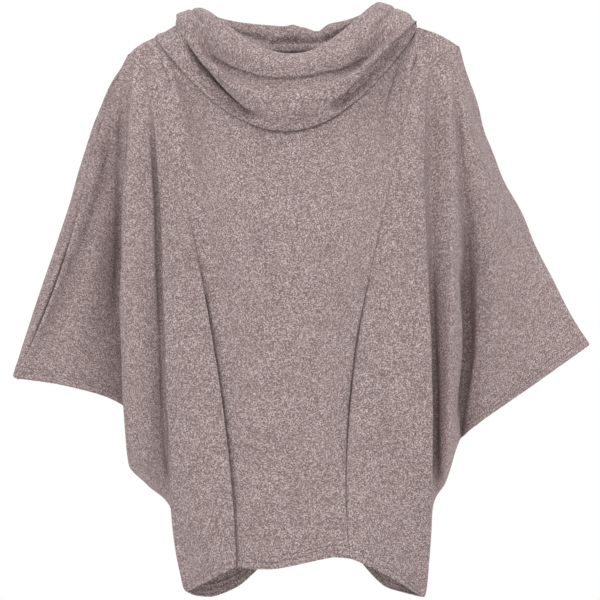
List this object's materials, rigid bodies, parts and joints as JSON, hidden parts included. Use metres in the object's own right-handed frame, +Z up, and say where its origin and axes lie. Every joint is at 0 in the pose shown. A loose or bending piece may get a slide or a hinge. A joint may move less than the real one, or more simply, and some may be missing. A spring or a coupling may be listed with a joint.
{
  "type": "draped cowl-neck knit top",
  "caption": "Hollow knit pullover with a wide rolled cowl collar, draped batwing sleeves and a curved hem, in the form it has when worn",
  "frame": {"origin": "midway between the wearer's shoulders, in the plane between front and back, level with the shoulder tips", "axes": "+Z up; -Y is the front; +X is the side at the right when the front is looked at"},
  "size_m": [0.7769, 0.2329, 0.8109],
  "materials": {
    "front_centre_knit": "matte rib knit, heathered mauve grey, wales running down",
    "front_side_left_knit": "matte rib knit, heathered mauve grey, wales on the bias",
    "front_side_right_knit": "matte rib knit, heathered mauve grey, wales on the bias",
    "back_knit": "matte rib knit, heathered mauve grey, wales running down",
    "collar_knit": "matte rib knit, heathered mauve grey, wales running up the collar"
  },
  "bodies": {
    "root": {"front_centre": "front_centre_knit", "front_side_left": "front_side_left_knit", "front_side_right": "front_side_right_knit", "back": "back_knit", "collar": "collar_knit"}
  },
  "joints": []
}
